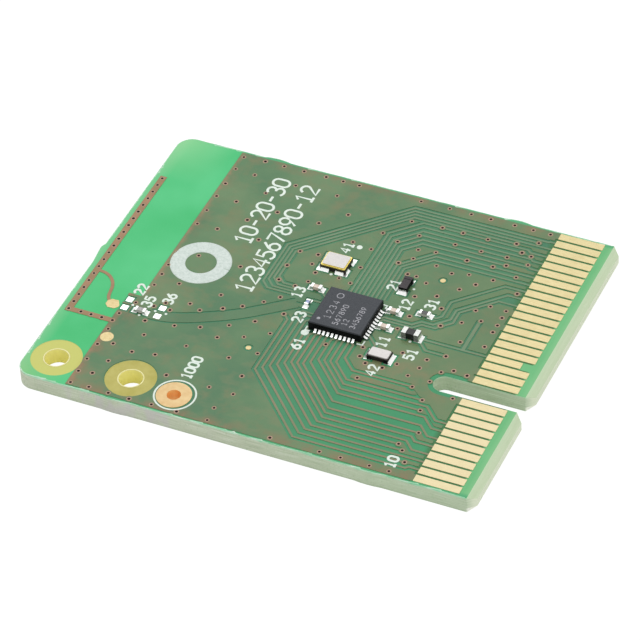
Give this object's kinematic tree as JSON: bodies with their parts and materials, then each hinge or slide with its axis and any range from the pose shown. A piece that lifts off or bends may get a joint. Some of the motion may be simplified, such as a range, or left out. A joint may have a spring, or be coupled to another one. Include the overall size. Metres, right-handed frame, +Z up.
{
  "type": "plug-in radio circuit board",
  "caption": "Small keyed plug-in circuit board with gold edge contacts, a printed aerial, a square radio chip, crystals and chip-size parts.",
  "frame": {"origin": "centre of the whole outline on the resting face (underside of the bottom copper)", "axes": "+X towards the contact edge, +Y towards the far long edge, +Z up out of the component side"},
  "size_m": [0.0434, 0.0346, 0.0025],
  "materials": {
    "mask_laminate": "glossy",
    "masked_copper": "satin",
    "gold_plate": "satin",
    "tinned_land": "satin",
    "solder": "satin",
    "chip_mould": "matt",
    "chip_metal": "satin",
    "lid_metal": "satin",
    "end_cap_metal": "satin",
    "dark_ceramic": "matt",
    "pale_ceramic": "matt",
    "film": "glossy",
    "blue_ceramic": "glossy"
  },
  "bodies": {
    "root": {"aerial_coil_body": "blue_ceramic", "aerial_coil_end_caps": "end_cap_metal", "aerial_pad": "gold_plate", "capacitor_body": "pale_ceramic", "capacitor_end_caps": "end_cap_metal", "chip_body": "chip_mould", "chip_paddle": "chip_metal", "chip_solder": "solder", "chip_terminals": "chip_metal", "circuit_board": "mask_laminate", "coil_body": "dark_ceramic", "coil_end_caps": "end_cap_metal", "component_lands": "tinned_land", "crystal_base": "dark_ceramic", "crystal_lid": "lid_metal", "crystal_seal_ring": "gold_plate", "crystal_solder": "solder", "empty_lands": "tinned_land", "far_contacts_bottom": "gold_plate", "far_contacts_top": "gold_plate", "ferrite_bead_body": "dark_ceramic", "ferrite_bead_end_caps": "end_cap_metal", "ground_copper_bottom": "masked_copper", "ground_copper_top": "masked_copper", "ground_eyelet": "gold_plate", "near_contacts_bottom": "gold_plate", "near_contacts_top": "gold_plate", "paddle_land": "tinned_land", "part_solder": "solder", "printed_aerial": "masked_copper", "radio_feed": "masked_copper", "resistor_body": "pale_ceramic", "resistor_end_caps": "end_cap_metal", "resistor_films": "film", "signal_runs": "masked_copper", "small_crystal_body": "dark_ceramic", "small_crystal_end_caps": "end_cap_metal", "small_crystal_lid": "lid_metal", "test_pads": "gold_plate"}
  },
  "joints": []
}
